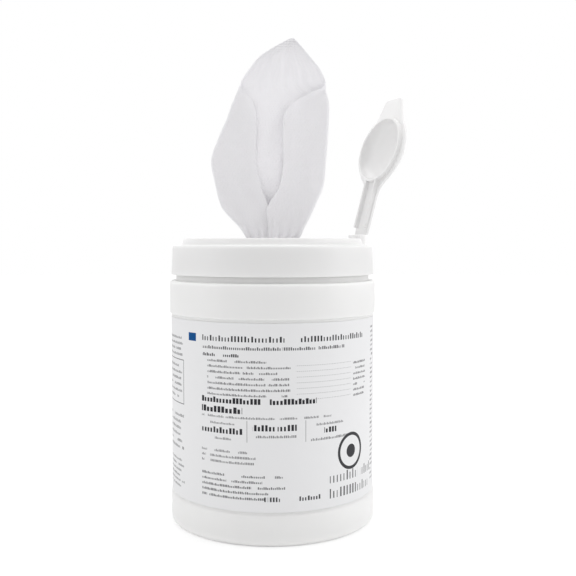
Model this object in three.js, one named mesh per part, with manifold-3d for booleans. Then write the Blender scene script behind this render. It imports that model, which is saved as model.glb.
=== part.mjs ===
// A canister of pre-moistened cleaning wipes: a blow-moulded canister with a wrapped label, a centre-pull
// roll of wipes, and a push-on lid whose flip tab stands open with one wipe drawn up through the orifice.
// Millimetres, +Z up. The origin is the centre of the base, on the surface that the canister stands on.
// +Y points away from the front of the label.
import * as THREE from "three";
import { mergeVertices } from "three/addons/utils/BufferGeometryUtils.js";
import Module from "manifold-3d";

const wasm = await Module();
wasm.setup();

// Driving dimensions of the roll, which the canister is made to hold
const SHEET_WIDTH = 152.4; // the roll is one wipe wide, six inches
const ROLL_RADIUS = 54;
const CORE_RADIUS = 15;
const LAP_STEP = 0.6; // the thickness of the roll's free edge
const SEAT_GAP = 0.3;

// Driving dimensions of the canister
const CANISTER_WALL = 1.1;
const BASE_THICKNESS = 1.3;
const PUSH_UP = 1.2; // the base's centre stands this far off the surface
const PUSH_UP_SLOPE = 1.5;
const RING_WIDTH = 5.7; // the ring that the canister stands on
const HEEL_RADIUS = 3;
const ROLL_HEADROOM = 5.6; // from the roll's top to the neck's
const NECK_CLEARANCE = 2.2; // round the roll as it goes in through the neck
const NECK_HEIGHT = 18.7;
const NECK_BEAD = 0.6;
const NECK_BEAD_DROP = 6.8; // from the neck's top to its bead
const NECK_BEAD_HALF = 1.2;
const LIP_CHAMFER = 0.4;
const SHOULDER_WIDTH = 2.65; // from the neck out to the panel
const BAND_RELIEF = 1.05; // the upper band stands this far out of the panel
const FOOT_BAND_RELIEF = 0.75;
const BAND_HEIGHT = 19.6;
const PANEL_BOTTOM = 17.8; // top of the foot band
const PANEL_STEP = 0.9; // height of the slope between a band and the panel
const SHOULDER_EDGE = 1.3; // radius of the band's top edge

// Driving dimensions of the label
const LABEL_THICKNESS = 0.25;
const LABEL_FIT = 0.05;
const LABEL_MARGIN = 1.4; // bare panel above and below the label

// Driving dimensions of the lid
const LID_WALL = 1.4;
const LID_SEAT = 0.5; // from the neck's top to the lid's underside
const BEAD_CLEARANCE = 0.3; // between the lid's bead and the neck's
const SKIRT_DRAFT = 0.55;
const SKIRT_GAP = 3.5; // from the shoulder to the skirt
const LEDGE_WIDTH = 5.6;
const LEDGE_EDGE = 1.8; // radius of the skirt's top edge
const DECK_RISE = 3.8; // from the ledge to the deck
const DECK_SLOPE = 1;
const DECK_EDGE = 0.8;
const SNAP_BEAD = 0.35;
const SNAP_BEAD_DROP = 5; // from the neck's bead to the lid's
const SNAP_BEAD_HALF = 0.9;
const SEAL_FIT = 0.35; // between the lid's sealing ring and the neck
const SEAL_WALL = 1;
const SEAL_DEPTH = 4;
const WELL_RADIUS = 16;
const WELL_SLOPE = 3;
const WELL_DEPTH = 8.1;
const PETAL_MARGIN = 1; // flat floor round the petals
const PETAL_RISE = 2.4;
const PETAL_THICKNESS = 0.8;
const PETAL_COUNT = 8;
const PETAL_SLOT = 1.1;
const ORIFICE_RADIUS = 6.5;
const HINGE_BLOCK_WIDTH = 15;
const HINGE_BLOCK_DEPTH = 4;
const HINGE_BLOCK_RISE = 2.4; // over the deck
const HINGE_BLOCK_INSET = 0.1; // in from the skirt's top

// Driving dimensions of the flip tab
const TAB_BEARING = THREE.MathUtils.degToRad(67); // from straight back round to the right
const TAB_OPEN = THREE.MathUtils.degToRad(105.5); // how far it stands open from closed
const TAB_CLEARANCE = 0.3; // over the block and the deck when closed
const TAB_PLATE = 1.5;
const TAB_ROOT = 0.4; // from the hinge line to the plate
const STEM_HALF_WIDTH = 7.4;
const STEM_FLARE = 3.8; // how much wider each side gets where the stem meets the bowl
const STEM_FLARE_LENGTH = 8;
const STEM_RIB = 1.5;
const STEM_RIB_INSET = 0.6;
const BOWL_SET_BACK = 3.8; // the bowl's centre stands this much nearer the hinge than the orifice's
const BOWL_HALF_WIDTH = 26;
const BOWL_HALF_LENGTH = 23.5;
const BOWL_RIM = 4;
const RIM_RIB = 1.4;
const RIB_SINK = 0.5; // how far the ribs run into the plate
const DOME_HEIGHT = 7.4;
const DOME_WALL = 1.3;
const TIP_REACH = 10; // beyond the bowl
const TIP_HALF_WIDTH = 10.3;
const TIP_FLARE = 4.2;
const TIP_CORNER = 3.2;

// Driving dimensions of the wipe
const WIPE_THICKNESS = 1;
const WIPE_RISE = 117.9; // from the deck to its highest corner
const WIPE_SPREAD = 36; // how far it reaches to one side
const WIPE_LAYER = 4.6; // half the space between its layers at the deck
const WIPE_FIT = 0.4; // round it in the orifice
const TAIL_LENGTH = 62.4; // below the well's floor
const TAIL_TAPER = 2.2; // how much slimmer the tail's end is on each side
const WIPE_ROW = 8; // height of one row of the wipe
const FLAP_COLUMNS = 3;
const FOLD_COLUMNS = 4;
const BACK_COLUMNS = 10;
const GATHER_COUNT = 2; // gathers across the back of the wipe
const GATHER_DEPTH = 1.1;

// Heights that follow from them
const FLOOR_HEIGHT = PUSH_UP + BASE_THICKNESS;
const NECK_TOP = FLOOR_HEIGHT + SEAT_GAP + SHEET_WIDTH + ROLL_HEADROOM;
const NECK_BEAD_HEIGHT = NECK_TOP - NECK_BEAD_DROP;
const SHOULDER_HEIGHT = NECK_TOP - NECK_HEIGHT;
const PANEL_TOP = SHOULDER_HEIGHT - BAND_HEIGHT;
const SKIRT_BOTTOM = SHOULDER_HEIGHT + SKIRT_GAP;
const SNAP_BEAD_HEIGHT = NECK_BEAD_HEIGHT - SNAP_BEAD_DROP;
const LEDGE_UNDER = NECK_TOP + LID_SEAT;
const LEDGE_HEIGHT = LEDGE_UNDER + LID_WALL;
const DECK_HEIGHT = LEDGE_HEIGHT + DECK_RISE;
const DECK_UNDER = DECK_HEIGHT - LID_WALL;
const WELL_FLOOR_HEIGHT = DECK_HEIGHT - WELL_DEPTH;
const PETAL_TIP_HEIGHT = WELL_FLOOR_HEIGHT + PETAL_RISE;
const HINGE_BLOCK_TOP = DECK_HEIGHT + HINGE_BLOCK_RISE;

// Radii that follow from them
const NECK_INNER = ROLL_RADIUS + NECK_CLEARANCE;
const NECK_RADIUS = NECK_INNER + CANISTER_WALL;
const PANEL_RADIUS = NECK_RADIUS + SHOULDER_WIDTH;
const BAND_RADIUS = PANEL_RADIUS + BAND_RELIEF;
const FOOT_BAND_RADIUS = PANEL_RADIUS + FOOT_BAND_RELIEF;
const STANDING_RING = FOOT_BAND_RADIUS - HEEL_RADIUS - RING_WIDTH;
const SKIRT_INNER = NECK_RADIUS + NECK_BEAD + BEAD_CLEARANCE + SNAP_BEAD;
const SKIRT_RADIUS = SKIRT_INNER + LID_WALL;
const SKIRT_TOP_RADIUS = SKIRT_RADIUS - SKIRT_DRAFT;
const SEAL_OUTER = NECK_INNER - SEAL_FIT;
const DECK_FOOT_RADIUS = SKIRT_TOP_RADIUS - LEDGE_WIDTH;
const DECK_RADIUS = DECK_FOOT_RADIUS - DECK_SLOPE;
const WELL_FLOOR_RADIUS = WELL_RADIUS - WELL_SLOPE;
const PETAL_ROOT_RADIUS = WELL_FLOOR_RADIUS - PETAL_MARGIN;
const HINGE_BLOCK_OUTER = SKIRT_TOP_RADIUS - HINGE_BLOCK_INSET;

const SEGMENTS = 64; // flats round a turned surface
const ARC_STEPS = 4;

const point = (r, z) => new THREE.Vector2(r, z);

// Points of an arc in a profile, both ends included.
function arc(centreR, centreZ, radius, fromDegrees, toDegrees, steps = ARC_STEPS) {
  const points = [];
  for (let i = 0; i <= steps; i++) {
    const a = THREE.MathUtils.degToRad(fromDegrees + ((toDegrees - fromDegrees) * i) / steps);
    points.push(point(centreR + radius * Math.cos(a), centreZ + radius * Math.sin(a)));
  }
  return points;
}

// A closed profile of (radius, height) turned round the Z axis.
function turned(profile) {
  const anticlockwise = THREE.ShapeUtils.area(profile) > 0 ? profile : profile.slice().reverse();
  const onAxis = anticlockwise.some((p) => p.x === 0);
  if (onAxis) {
    const start = anticlockwise.findIndex(
      (p, i) => p.x === 0 && anticlockwise[(i + anticlockwise.length - 1) % anticlockwise.length].x === 0,
    );
    const opened = [...anticlockwise.slice(start), ...anticlockwise.slice(0, start)];
    return new THREE.LatheGeometry(opened, SEGMENTS).rotateX(Math.PI / 2);
  }
  return new THREE.LatheGeometry([...anticlockwise, anticlockwise[0]], SEGMENTS).rotateX(Math.PI / 2);
}

// A closed geometry as a manifold solid, for cutting and joining.
function solid(geometry) {
  const bare = new THREE.BufferGeometry();
  bare.setAttribute("position", geometry.getAttribute("position"));
  if (geometry.index) bare.setIndex(geometry.index);
  const merged = mergeVertices(bare, 1e-4);
  return new wasm.Manifold(
    new wasm.Mesh({
      numProp: 3,
      vertProperties: merged.getAttribute("position").array,
      triVerts: new Uint32Array(merged.index.array),
    }),
  );
}

// A manifold solid as a geometry again.
function geometryOf(made) {
  const mesh = made.getMesh();
  const geometry = new THREE.BufferGeometry();
  geometry.setAttribute("position", new THREE.BufferAttribute(new Float32Array(mesh.vertProperties), 3));
  geometry.setIndex(new THREE.BufferAttribute(new Uint32Array(mesh.triVerts), 1));
  const flat = geometry.toNonIndexed();
  flat.computeVertexNormals();
  return flat;
}

// A mesh with its own material.
function part(name, geometry, material) {
  const mesh = new THREE.Mesh(geometry, new THREE.MeshStandardMaterial(material));
  mesh.name = name;
  return mesh;
}

// The canister, blown as one piece with its neck.
function canister() {
  const wall = CANISTER_WALL;
  const inside = [
    point(NECK_INNER, NECK_TOP),
    point(NECK_INNER, SHOULDER_HEIGHT - wall),
    point(BAND_RADIUS - wall, SHOULDER_HEIGHT - 2 * wall),
    point(BAND_RADIUS - wall, PANEL_TOP + PANEL_STEP),
    point(PANEL_RADIUS - wall, PANEL_TOP),
    point(PANEL_RADIUS - wall, PANEL_BOTTOM),
    point(FOOT_BAND_RADIUS - wall, PANEL_BOTTOM - PANEL_STEP),
    ...arc(
      FOOT_BAND_RADIUS - wall - HEEL_RADIUS,
      FLOOR_HEIGHT + HEEL_RADIUS,
      HEEL_RADIUS,
      0,
      -90,
    ),
    point(0, FLOOR_HEIGHT),
  ];
  const outside = [
    point(0, PUSH_UP),
    point(STANDING_RING - PUSH_UP_SLOPE, PUSH_UP),
    point(STANDING_RING, 0),
    ...arc(FOOT_BAND_RADIUS - HEEL_RADIUS, HEEL_RADIUS, HEEL_RADIUS, -90, 0),
    point(FOOT_BAND_RADIUS, PANEL_BOTTOM - PANEL_STEP),
    point(PANEL_RADIUS, PANEL_BOTTOM),
    point(PANEL_RADIUS, PANEL_TOP),
    point(BAND_RADIUS, PANEL_TOP + PANEL_STEP),
    ...arc(BAND_RADIUS - SHOULDER_EDGE, SHOULDER_HEIGHT - SHOULDER_EDGE, SHOULDER_EDGE, 0, 90),
    point(NECK_RADIUS, SHOULDER_HEIGHT),
    point(NECK_RADIUS, NECK_BEAD_HEIGHT - NECK_BEAD_HALF),
    point(NECK_RADIUS + NECK_BEAD, NECK_BEAD_HEIGHT),
    point(NECK_RADIUS, NECK_BEAD_HEIGHT + NECK_BEAD_HALF),
    point(NECK_RADIUS, NECK_TOP - LIP_CHAMFER),
    point(NECK_RADIUS - LIP_CHAMFER, NECK_TOP),
  ];
  return turned([...outside, ...inside]);
}

// The label, a film wrapped round the panel.
function label() {
  const inner = PANEL_RADIUS + LABEL_FIT;
  const outer = inner + LABEL_THICKNESS;
  const bottom = PANEL_BOTTOM + LABEL_MARGIN;
  const top = PANEL_TOP - LABEL_MARGIN;
  return turned([point(inner, bottom), point(outer, bottom), point(outer, top), point(inner, top)]);
}

// One turn of a spiral, with the step of a free edge where it ends.
function spiralTurn(path, radius, step) {
  for (let i = 0; i <= SEGMENTS; i++) {
    const a = (2 * Math.PI * i) / SEGMENTS;
    const r = radius - step * (1 - i / SEGMENTS);
    path.lineTo(r * Math.cos(a), r * Math.sin(a));
  }
}

// The roll of wipes, wound tight on itself round an open core.
function wipeRoll() {
  const outline = new THREE.Shape();
  outline.moveTo(ROLL_RADIUS - LAP_STEP, 0);
  spiralTurn(outline, ROLL_RADIUS, LAP_STEP);
  outline.closePath();
  const core = new THREE.Path();
  core.moveTo(CORE_RADIUS - LAP_STEP, 0);
  spiralTurn(core, CORE_RADIUS, LAP_STEP);
  core.closePath();
  outline.holes.push(core);
  return new THREE.ExtrudeGeometry(outline, { depth: SHEET_WIDTH, bevelEnabled: false });
}

// The lid's turned body: skirt, ledge, raised deck, funnel well and the petals' cone.
function lidBody() {
  const top = [
    point(ORIFICE_RADIUS, PETAL_TIP_HEIGHT),
    point(PETAL_ROOT_RADIUS, WELL_FLOOR_HEIGHT),
    point(WELL_FLOOR_RADIUS, WELL_FLOOR_HEIGHT),
    point(WELL_RADIUS, DECK_HEIGHT - DECK_EDGE),
    point(WELL_RADIUS + DECK_EDGE, DECK_HEIGHT),
    ...arc(DECK_RADIUS - DECK_EDGE, DECK_HEIGHT - DECK_EDGE, DECK_EDGE, 90, 0, 2),
    point(DECK_FOOT_RADIUS, LEDGE_HEIGHT + DECK_EDGE),
    point(DECK_FOOT_RADIUS + DECK_EDGE, LEDGE_HEIGHT),
    ...arc(SKIRT_TOP_RADIUS - LEDGE_EDGE, LEDGE_HEIGHT - LEDGE_EDGE, LEDGE_EDGE, 90, 0),
    point(SKIRT_RADIUS, SKIRT_BOTTOM),
  ];
  const underside = [
    point(SKIRT_INNER, SKIRT_BOTTOM),
    point(SKIRT_INNER, SNAP_BEAD_HEIGHT - SNAP_BEAD_HALF),
    point(SKIRT_INNER - SNAP_BEAD, SNAP_BEAD_HEIGHT),
    point(SKIRT_INNER, SNAP_BEAD_HEIGHT + SNAP_BEAD_HALF),
    point(SKIRT_TOP_RADIUS - LID_WALL, LEDGE_UNDER),
    point(SEAL_OUTER, LEDGE_UNDER),
    point(SEAL_OUTER, LEDGE_UNDER - SEAL_DEPTH),
    point(SEAL_OUTER - SEAL_WALL, LEDGE_UNDER - SEAL_DEPTH),
    point(SEAL_OUTER - SEAL_WALL, LEDGE_UNDER),
    point(DECK_FOOT_RADIUS - LID_WALL, LEDGE_UNDER),
    point(DECK_RADIUS - LID_WALL, DECK_UNDER),
    point(WELL_RADIUS + LID_WALL, DECK_UNDER),
    point(WELL_FLOOR_RADIUS + LID_WALL, WELL_FLOOR_HEIGHT - PETAL_THICKNESS),
    point(PETAL_ROOT_RADIUS, WELL_FLOOR_HEIGHT - PETAL_THICKNESS),
    point(ORIFICE_RADIUS, PETAL_TIP_HEIGHT - PETAL_THICKNESS),
  ];
  return turned([...top, ...underside]);
}

// The lid, moulded as one piece with the block that carries the flip tab's hinge.
function lid() {
  let made = solid(lidBody());
  const blockInner = HINGE_BLOCK_OUTER - HINGE_BLOCK_DEPTH;
  const blockBottom = LEDGE_UNDER + LID_WALL / 4;
  const block = new THREE.BoxGeometry(
    HINGE_BLOCK_WIDTH,
    HINGE_BLOCK_OUTER - blockInner,
    HINGE_BLOCK_TOP - blockBottom,
  );
  block.translate(0, (HINGE_BLOCK_OUTER + blockInner) / 2, (HINGE_BLOCK_TOP + blockBottom) / 2);
  block.rotateZ(-TAB_BEARING);
  made = made.add(solid(block));
  const slotOuter = PETAL_ROOT_RADIUS - PETAL_SLOT / 2;
  for (let i = 0; i < PETAL_COUNT; i++) {
    const slot = new THREE.BoxGeometry(slotOuter, PETAL_SLOT, 4 * PETAL_RISE);
    slot.translate(slotOuter / 2, 0, WELL_FLOOR_HEIGHT + PETAL_RISE / 2);
    slot.rotateZ(((i + 0.5) * 2 * Math.PI) / PETAL_COUNT);
    made = made.subtract(solid(slot));
  }
  return geometryOf(made);
}

// The flip tab lies along +X from its hinge line when closed, with its underside towards the deck.
const TAB_UNDER = TAB_CLEARANCE; // underside of the plate, over the hinge line
const RIB_BOTTOM = DECK_HEIGHT + TAB_CLEARANCE - HINGE_BLOCK_TOP;
const BOWL_CENTRE = HINGE_BLOCK_OUTER - BOWL_SET_BACK; // the closed bowl covers the well
const BOWL_END = BOWL_CENTRE + BOWL_HALF_LENGTH;

// The tab's outline seen from above: stem, round bowl and finger tip.
function tabOutline(inset) {
  const stem = STEM_HALF_WIDTH - inset;
  const bowlWide = BOWL_HALF_WIDTH - inset;
  const bowlLong = BOWL_HALF_LENGTH - inset;
  const root = TAB_ROOT + inset;
  const end = BOWL_END + TIP_REACH - inset;
  const tip = TIP_HALF_WIDTH - inset;
  const neck = BOWL_CENTRE - BOWL_HALF_LENGTH;
  const half = [];
  half.push([root, stem]);
  half.push([neck - STEM_FLARE_LENGTH, stem]);
  half.push([neck - STEM_FLARE_LENGTH * 0.38, stem + STEM_FLARE * 0.24]);
  half.push([neck + STEM_FLARE_LENGTH * 0.15, stem + STEM_FLARE]);
  for (let degrees = 138; degrees >= 42; degrees -= 12) {
    const a = THREE.MathUtils.degToRad(degrees);
    half.push([BOWL_CENTRE + bowlLong * Math.cos(a), bowlWide * Math.sin(a)]);
  }
  half.push([BOWL_END - TIP_CORNER * 0.5, tip + TIP_FLARE]);
  half.push([end - TIP_CORNER, tip]);
  half.push([end - TIP_CORNER * 0.3, tip - TIP_CORNER * 0.3]);
  half.push([end, tip - TIP_CORNER]);
  const outline = new THREE.Shape();
  half.forEach(([x, y], i) => (i ? outline.lineTo(x, y) : outline.moveTo(x, y)));
  half.reverse().forEach(([x, y]) => outline.lineTo(x, -y));
  outline.closePath();
  return outline;
}

// A shallow dome over the bowl: half a flattened ball on a straight foot.
function dome(halfLong, halfWide, bottom, springing, height) {
  const steps = 6;
  const profile = [point(0, bottom), point(1, bottom), point(1, springing)];
  for (let i = 1; i < steps; i++) {
    const a = (Math.PI / 2) * (i / steps);
    profile.push(point(Math.cos(a) ** 0.7, springing + height * Math.sin(a)));
  }
  profile.push(point(0, springing + height));
  const made = turned(profile);
  made.scale(halfLong, halfWide, 1);
  made.translate(BOWL_CENTRE, 0, 0);
  return solid(made);
}

function flipTab() {
  const extrude = (shape, bottom, top) => {
    const made = new THREE.ExtrudeGeometry(shape, { depth: top - bottom, bevelEnabled: false });
    made.translate(0, 0, bottom);
    return solid(made);
  };
  const plateTop = TAB_UNDER + TAB_PLATE;
  const insideLong = BOWL_HALF_LENGTH - BOWL_RIM;
  const insideWide = BOWL_HALF_WIDTH - BOWL_RIM;
  let made = extrude(tabOutline(0), TAB_UNDER, plateTop);
  const domeTop = DOME_HEIGHT + DOME_WALL;
  made = made.add(dome(insideLong + DOME_WALL, insideWide + DOME_WALL, TAB_UNDER, TAB_UNDER, domeTop));
  // The rib round the bowl's mouth, which meets the deck.
  made = made.add(dome(insideLong + RIM_RIB, insideWide + RIM_RIB, RIB_BOTTOM, TAB_UNDER, RIB_SINK));
  made = made.subtract(dome(insideLong, insideWide, RIB_BOTTOM - 1, TAB_UNDER - 0.4, DOME_HEIGHT));
  // The stem's two ribs run from the hinge block to the bowl's rib.
  const ribEnd = BOWL_CENTRE - insideLong - RIM_RIB * 0.3;
  const ribStart = HINGE_BLOCK_DEPTH + 2 * TAB_CLEARANCE;
  for (const side of [-1, 1]) {
    const rib = new THREE.BoxGeometry(ribEnd - ribStart, STEM_RIB, TAB_UNDER + RIB_SINK - RIB_BOTTOM);
    rib.translate(
      (ribEnd + ribStart) / 2,
      side * (STEM_HALF_WIDTH - STEM_RIB / 2 - STEM_RIB_INSET),
      (RIB_BOTTOM + TAB_UNDER + RIB_SINK) / 2,
    );
    made = made.add(solid(rib));
  }
  return geometryOf(made);
}

// The wipe's sections above the deck. rise is a share of WIPE_RISE. left and right are the folds' places
// across, and leftLap and rightLap how far each folded side reaches back to the middle, as shares of
// WIPE_SPREAD. half is half the space between the layers and back how far the whole stands back, as shares
// of WIPE_LAYER. turn is how far each side is folded round: 1 is right back on itself.
const WIPE_SHARES = [
  { rise: 0, left: -0.42, right: 0.42, half: 1, turn: 0.97, leftLap: 0.12, rightLap: 0.14, back: 0.07 },
  { rise: 0.06, left: -0.54, right: 0.52, half: 0.96, turn: 1, leftLap: 0.17, rightLap: 0.22, back: 0.04 },
  { rise: 0.17, left: -0.84, right: 0.7, half: 0.91, turn: 1, leftLap: 0.43, rightLap: 0.4, back: 0 },
  { rise: 0.28, left: -0.96, right: 0.86, half: 0.87, turn: 1, leftLap: 0.53, rightLap: 0.57, back: -0.07 },
  { rise: 0.39, left: -1.02, right: 0.89, half: 0.83, turn: 1, leftLap: 0.59, rightLap: 0.61, back: -0.09 },
  { rise: 0.51, left: -0.9, right: 0.92, half: 0.78, turn: 1, leftLap: 0.49, rightLap: 0.64, back: -0.04 },
  { rise: 0.61, left: -0.74, right: 0.93, half: 0.74, turn: 1, leftLap: 0.34, rightLap: 0.63, back: 0.09 },
  { rise: 0.68, left: -0.66, right: 0.94, half: 0.7, turn: 1, leftLap: 0.23, rightLap: 0.49, back: 0.22 },
  { rise: 0.73, left: -0.61, right: 0.92, half: 0.61, turn: 0.95, leftLap: 0.09, rightLap: 0.25, back: 0.35 },
  { rise: 0.76, left: -0.56, right: 0.9, half: 0.43, turn: 0.6, leftLap: 0.03, rightLap: 0.04, back: 0.48 },
  { rise: 0.81, left: -0.47, right: 0.84, half: 0.3, turn: 0.3, leftLap: 0.02, rightLap: 0.02, back: 0.65 },
  { rise: 0.87, left: -0.34, right: 0.75, half: 0.22, turn: 0.16, leftLap: 0.02, rightLap: 0.02, back: 0.78 },
  { rise: 0.92, left: -0.18, right: 0.59, half: 0.17, turn: 0.1, leftLap: 0.01, rightLap: 0.01, back: 0.87 },
  { rise: 0.96, left: 0.12, right: 0.47, half: 0.13, turn: 0.08, leftLap: 0.01, rightLap: 0.01, back: 0.96 },
  { rise: 1, left: 0.31, right: 0.36, half: 0.11, turn: 0.06, leftLap: 0.01, rightLap: 0.01, back: 1.04 },
];

// A section of the part that the orifice and the roll's core hold together: a round bundle.
function bundle(z, slimmer) {
  const side = ORIFICE_RADIUS - WIPE_FIT - WIPE_THICKNESS / 2 - slimmer;
  const flap = WIPE_THICKNESS * 0.4;
  const layer = side - WIPE_FIT;
  return { z, left: -side, right: side, half: layer, turn: 0.76, leftLap: flap, rightLap: flap, back: 0 };
}

// The wipe's sections from its tail to its corner, in millimetres.
const WIPE_SECTIONS = [
  bundle(WELL_FLOOR_HEIGHT - TAIL_LENGTH, TAIL_TAPER),
  bundle(WELL_FLOOR_HEIGHT - TAIL_LENGTH / 2, TAIL_TAPER * 0.45),
  bundle(WELL_FLOOR_HEIGHT - PETAL_RISE, 0),
  bundle(PETAL_TIP_HEIGHT + WIPE_FIT, 0),
  ...WIPE_SHARES.map((share) => ({
    z: DECK_HEIGHT + share.rise * WIPE_RISE,
    left: share.left * WIPE_SPREAD,
    right: share.right * WIPE_SPREAD,
    half: share.half * WIPE_LAYER,
    turn: share.turn,
    leftLap: share.leftLap * WIPE_SPREAD,
    rightLap: share.rightLap * WIPE_SPREAD,
    back: share.back * WIPE_LAYER,
  })),
];

// The slope of one value at a section, kept from overshooting the sections on either side.
function sectionSlope(name, i) {
  const rise = (k) =>
    (WIPE_SECTIONS[k + 1][name] - WIPE_SECTIONS[k][name]) / (WIPE_SECTIONS[k + 1].z - WIPE_SECTIONS[k].z);
  if (i === 0) return rise(0);
  if (i === WIPE_SECTIONS.length - 1) return rise(i - 1);
  const before = rise(i - 1);
  const after = rise(i);
  return before * after > 0 ? (2 * before * after) / (before + after) : 0;
}

// The section a share t of the way from one listed section to the next, along a smooth curve.
function wipeSection(i, t) {
  const from = WIPE_SECTIONS[i];
  const to = WIPE_SECTIONS[i + 1];
  const span = to.z - from.z;
  const section = {};
  for (const name of Object.keys(from)) {
    section[name] =
      (1 + 2 * t) * (1 - t) ** 2 * from[name] +
      t * (1 - t) ** 2 * span * sectionSlope(name, i) +
      t * t * (3 - 2 * t) * to[name] +
      t * t * (t - 1) * span * sectionSlope(name, i + 1);
  }
  return section;
}

// The middle line of the wipe in one section, from the left flap's edge round the back to the right one's.
function wipeLine(s) {
  const line = [];
  const foldLeft = s.left + s.half * Math.min(1, 2 * s.turn);
  const foldRight = s.right - s.half * Math.min(1, 2 * s.turn);
  const sweep = Math.PI * s.turn;
  const side = (centre, sign, flap) => {
    const points = [];
    const endX = centre + sign * s.half * Math.sin(sweep);
    const endY = s.half * Math.cos(sweep);
    for (let i = 0; i < FLAP_COLUMNS; i++) {
      const along = flap * (1 - i / FLAP_COLUMNS);
      points.push([endX + sign * along * Math.cos(sweep), endY - along * Math.sin(sweep)]);
    }
    for (let i = 0; i < FOLD_COLUMNS; i++) {
      const a = sweep * (1 - i / FOLD_COLUMNS);
      points.push([centre + sign * s.half * Math.sin(a), s.half * Math.cos(a)]);
    }
    return points;
  };
  line.push(...side(foldLeft, -1, s.leftLap));
  const width = foldRight - foldLeft;
  const ripple = GATHER_DEPTH * Math.min(1, Math.max(0, (width - 2) / 40));
  for (let i = 0; i <= BACK_COLUMNS; i++) {
    const t = i / BACK_COLUMNS;
    const wave = ripple * Math.sin(2 * Math.PI * GATHER_COUNT * t) * Math.sin(Math.PI * t);
    line.push([foldLeft + width * t, s.half + wave]);
  }
  line.push(...side(foldRight, 1, s.rightLap).reverse());
  return line.map(([x, y]) => new THREE.Vector2(x, y + s.back));
}

// The wipe: its section lofted from the tail in the roll's core to the corner that stands highest.
function wipe() {
  const half = WIPE_THICKNESS / 2;
  const sections = [];
  for (let i = 0; i < WIPE_SECTIONS.length - 1; i++) {
    const steps = Math.ceil((WIPE_SECTIONS[i + 1].z - WIPE_SECTIONS[i].z) / WIPE_ROW);
    for (let k = 0; k < steps; k++) sections.push(wipeSection(i, k / steps));
  }
  sections.push(WIPE_SECTIONS[WIPE_SECTIONS.length - 1]);
  const rows = sections.map((section) => {
    const line = wipeLine(section);
    const offset = (sign) =>
      line.map((p, i) => {
        const before = line[Math.max(0, i - 1)];
        const after = line[Math.min(line.length - 1, i + 1)];
        const along = after.clone().sub(before).normalize();
        return new THREE.Vector3(p.x - sign * half * along.y, p.y + sign * half * along.x, section.z);
      });
    return [...offset(1), ...offset(-1).reverse()];
  });
  const round = rows[0].length;
  const positions = rows.flat().flatMap((p) => [p.x, p.y, p.z]);
  const index = [];
  const quad = (a, b, c, d) => index.push(a, c, b, a, d, c);
  for (let j = 0; j < rows.length - 1; j++) {
    for (let i = 0; i < round; i++) {
      const next = (i + 1) % round;
      quad(j * round + i, j * round + next, (j + 1) * round + next, (j + 1) * round + i);
    }
  }
  const end = (rows.length - 1) * round;
  for (let i = 0; i < round / 2 - 1; i++) {
    const across = round - 1 - i;
    quad(i, across, across - 1, i + 1);
    quad(end + i, end + i + 1, end + across - 1, end + across);
  }
  const geometry = new THREE.BufferGeometry();
  geometry.setAttribute("position", new THREE.Float32BufferAttribute(positions, 3));
  geometry.setIndex(index);
  const flat = geometry.toNonIndexed();
  flat.computeVertexNormals();
  return flat;
}

const WHITE_PLASTIC = { color: 0xeeeeee, roughness: 0.42, metalness: 0 };
const LID_PLASTIC = { color: 0xf1f0f1, roughness: 0.36, metalness: 0 };

const pack = new THREE.Group();
pack.add(part("canister", canister(), WHITE_PLASTIC));
pack.add(part("label", label(), { color: 0xf4f3f4, roughness: 0.34, metalness: 0 }));

const roll = part("wipe_roll", wipeRoll(), { color: 0xf5f5f4, roughness: 0.9, metalness: 0 });
roll.position.z = FLOOR_HEIGHT + SEAT_GAP;
pack.add(roll);

pack.add(part("lid", lid(), LID_PLASTIC));
pack.add(part("drawn_wipe", wipe(), { color: 0xf3f2f5, roughness: 0.88, metalness: 0 }));

// The tab turns about the hinge line at the block's outer top edge.
const hinge = new THREE.Group();
hinge.position.set(
  HINGE_BLOCK_OUTER * Math.sin(TAB_BEARING),
  HINGE_BLOCK_OUTER * Math.cos(TAB_BEARING),
  HINGE_BLOCK_TOP,
);
hinge.rotation.z = -(Math.PI / 2 + TAB_BEARING);
const swing = new THREE.Group();
swing.rotation.y = -TAB_OPEN;
swing.add(part("flip_tab", flipTab(), LID_PLASTIC));
hinge.add(swing);
pack.add(hinge);

export default pack;
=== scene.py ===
"""A canister of pre-moistened wipes, dressed for a plain studio picture.

The canister, the roll, the lid and the flip tab keep the solid model's shapes and get finer edges. The label
and the wipe that stands in the orifice are made here. Everything is in metres, in the solid model's frame,
but for the print's and the drawn wipe's tables, which are in millimetres.
"""
import math

import bpy
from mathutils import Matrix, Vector, noise


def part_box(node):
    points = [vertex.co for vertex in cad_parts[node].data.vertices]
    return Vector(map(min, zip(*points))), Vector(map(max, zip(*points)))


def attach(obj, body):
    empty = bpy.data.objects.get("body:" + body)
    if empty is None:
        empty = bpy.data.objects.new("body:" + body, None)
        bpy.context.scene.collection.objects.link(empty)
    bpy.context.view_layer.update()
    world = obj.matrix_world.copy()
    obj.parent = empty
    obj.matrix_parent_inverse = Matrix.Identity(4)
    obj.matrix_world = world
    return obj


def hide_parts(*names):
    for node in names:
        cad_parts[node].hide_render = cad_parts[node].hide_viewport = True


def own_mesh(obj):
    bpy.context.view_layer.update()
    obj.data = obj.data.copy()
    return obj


bl_info = {
    "name": "Canister of Wipes",
    "version": (1, 0, 0),
    "blender": (4, 5, 0),
    "location": "3D View > Sidebar > Wipes",
    "description": "Dresses the solid model of a canister of wipes and sets its studio",
    "category": "Object",
}

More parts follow.
